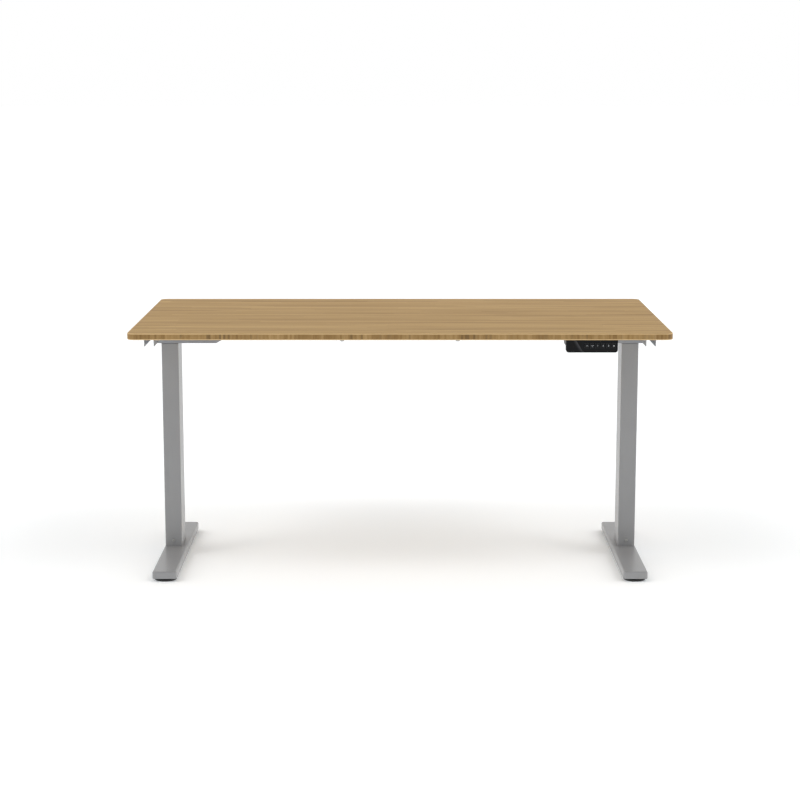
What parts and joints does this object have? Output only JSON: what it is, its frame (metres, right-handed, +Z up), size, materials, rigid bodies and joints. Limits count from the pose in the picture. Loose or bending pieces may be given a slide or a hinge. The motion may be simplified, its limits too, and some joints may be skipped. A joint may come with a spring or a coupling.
{
  "type": "height adjustable standing desk",
  "caption": "Electric height adjustable desk with a bamboo top, telescopic silver steel legs on long flat feet, a crossbar, a control box and a keypad under the front edge.",
  "frame": {"origin": "on the floor under the middle of the desktop", "axes": "+X to the right along the desktop's width, +Y to the back, +Z up; the front edge with the handset faces -Y"},
  "size_m": [1.524, 0.762, 0.725],
  "materials": {
    "bamboo": "satin lacquered strand bamboo, fine grain along its width",
    "silver_steel": "satin silver powder coat",
    "dark_bolts": "black oxide",
    "zinc_screws": "bright zinc",
    "bright_steel": "ground and oiled",
    "guide_plastic": "matt grey acetal",
    "glide_plastic": "matt moulded",
    "cast_alloy": "as cast",
    "motor_paint": "satin black",
    "bronze": "machined",
    "black_plastic": "fine spark texture",
    "lead_jacket": "matt jacket",
    "handset_gloss": "glossy",
    "display_black": "smoked gloss",
    "key_plastic": "semi-gloss with pale printed symbols"
  },
  "bodies": {
    "left_base": {"left_outer_tube": "silver_steel", "left_tube_collar": "guide_plastic", "left_nut_post": "bright_steel", "left_spindle_nut": "bronze", "left_foot": "silver_steel", "left_foot_bolts": "zinc_screws"},
    "right_base": {"right_outer_tube": "silver_steel", "right_tube_collar": "guide_plastic", "right_nut_post": "bright_steel", "right_spindle_nut": "bronze", "right_foot": "silver_steel", "right_foot_bolts": "zinc_screws"},
    "left_spindle": {"left_spindle": "bright_steel", "left_worm_wheel": "bronze"},
    "left_motor_shaft": {"left_worm_shaft": "bright_steel"},
    "left_front_glide": {"left_front_glide": "glide_plastic"},
    "left_rear_glide": {"left_rear_glide": "glide_plastic"},
    "right_spindle": {"right_spindle": "bright_steel", "right_worm_wheel": "bronze"},
    "right_motor_shaft": {"right_worm_shaft": "bright_steel"},
    "right_front_glide": {"right_front_glide": "glide_plastic"},
    "right_rear_glide": {"right_rear_glide": "glide_plastic"},
    "key_up": {"key_up": "key_plastic"},
    "key_down": {"key_down": "key_plastic"},
    "key_1": {"key_1": "key_plastic"},
    "key_2": {"key_2": "key_plastic"},
    "key_3": {"key_3": "key_plastic"},
    "key_memory": {"key_memory": "key_plastic"},
    "top": {"desktop": "bamboo", "left_top_box": "silver_steel", "right_top_box": "silver_steel", "left_side_bracket": "silver_steel", "right_side_bracket": "silver_steel", "left_rail": "silver_steel", "right_rail": "silver_steel", "centre_beam": "silver_steel", "beam_bolts": "zinc_screws", "bracket_bolts": "dark_bolts", "desktop_screws": "zinc_screws", "left_inner_tube": "silver_steel", "right_inner_tube": "silver_steel", "left_slide_pads": "guide_plastic", "right_slide_pads": "guide_plastic", "left_gearbox": "cast_alloy", "right_gearbox": "cast_alloy", "left_gearbox_cover": "cast_alloy", "right_gearbox_cover": "cast_alloy", "left_motor_can": "motor_paint", "right_motor_can": "motor_paint", "control_box": "black_plastic", "control_box_lid": "black_plastic", "power_inlet": "black_plastic", "lead_plugs": "black_plastic", "lead_clips": "black_plastic", "left_motor_lead": "lead_jacket", "right_motor_lead": "lead_jacket", "handset_lead": "lead_jacket", "handset_body": "black_plastic", "handset_face": "handset_gloss", "display_window": "display_black"}
  },
  "joints": [
    {"name": "lift", "type": "slide", "parent": "left_base", "child": "top", "axis": [0, 0, 1], "range_m": [0, 0.5]},
    {"name": "right_leg_lift", "type": "slide", "parent": "top", "child": "right_base", "axis": [0, 0, -1], "range_m": [0, 0.5]},
    {"name": "left_spindle_turn", "type": "hinge", "parent": "top", "child": "left_spindle", "pos_m": [-0.682, -0.017, 0.672], "axis": [0, 0, 1], "continuous": true},
    {"name": "left_motor_turn", "type": "hinge", "parent": "top", "child": "left_motor_shaft", "pos_m": [-0.613, 0.005, 0.672], "axis": [1, 0, 0], "continuous": true},
    {"name": "right_spindle_turn", "type": "hinge", "parent": "top", "child": "right_spindle", "pos_m": [0.682, -0.017, 0.672], "axis": [0, 0, 1], "continuous": true},
    {"name": "right_motor_turn", "type": "hinge", "parent": "top", "child": "right_motor_shaft", "pos_m": [0.613, 0.005, 0.672], "axis": [1, 0, 0], "continuous": true},
    {"name": "key_up_press", "type": "slide", "parent": "top", "child": "key_up", "axis": [0, 1, 0], "range_m": [0, 0.0004], "stiffness_N_per_m": 1500, "springref_m": -0.0002},
    {"name": "key_down_press", "type": "slide", "parent": "top", "child": "key_down", "axis": [0, 1, 0], "range_m": [0, 0.0004], "stiffness_N_per_m": 1500, "springref_m": -0.0002},
    {"name": "key_1_press", "type": "slide", "parent": "top", "child": "key_1", "axis": [0, 1, 0], "range_m": [0, 0.0004], "stiffness_N_per_m": 1500, "springref_m": -0.0002},
    {"name": "key_2_press", "type": "slide", "parent": "top", "child": "key_2", "axis": [0, 1, 0], "range_m": [0, 0.0004], "stiffness_N_per_m": 1500, "springref_m": -0.0002},
    {"name": "key_3_press", "type": "slide", "parent": "top", "child": "key_3", "axis": [0, 1, 0], "range_m": [0, 0.0004], "stiffness_N_per_m": 1500, "springref_m": -0.0002},
    {"name": "key_memory_press", "type": "slide", "parent": "top", "child": "key_memory", "axis": [0, 1, 0], "range_m": [0, 0.0004], "stiffness_N_per_m": 1500, "springref_m": -0.0002},
    {"name": "left_front_level", "type": "slide", "parent": "left_base", "child": "left_front_glide", "axis": [0, 0, -1], "range_m": [0, 0.008]},
    {"name": "left_rear_level", "type": "slide", "parent": "left_base", "child": "left_rear_glide", "axis": [0, 0, -1], "range_m": [0, 0.008]},
    {"name": "right_front_level", "type": "slide", "parent": "right_base", "child": "right_front_glide", "axis": [0, 0, -1], "range_m": [0, 0.008]},
    {"name": "right_rear_level", "type": "slide", "parent": "right_base", "child": "right_rear_glide", "axis": [0, 0, -1], "range_m": [0, 0.008]}
  ],
  "couplings": [
    {"joint": "right_leg_lift", "follows": "lift", "ratio": 1},
    {"joint": "left_spindle_turn", "follows": "lift", "rad_per_m": 502.65},
    {"joint": "left_motor_turn", "follows": "lift", "rad_per_m": 10053},
    {"joint": "right_spindle_turn", "follows": "lift", "rad_per_m": 502.65},
    {"joint": "right_motor_turn", "follows": "lift", "rad_per_m": 10053}
  ]
}
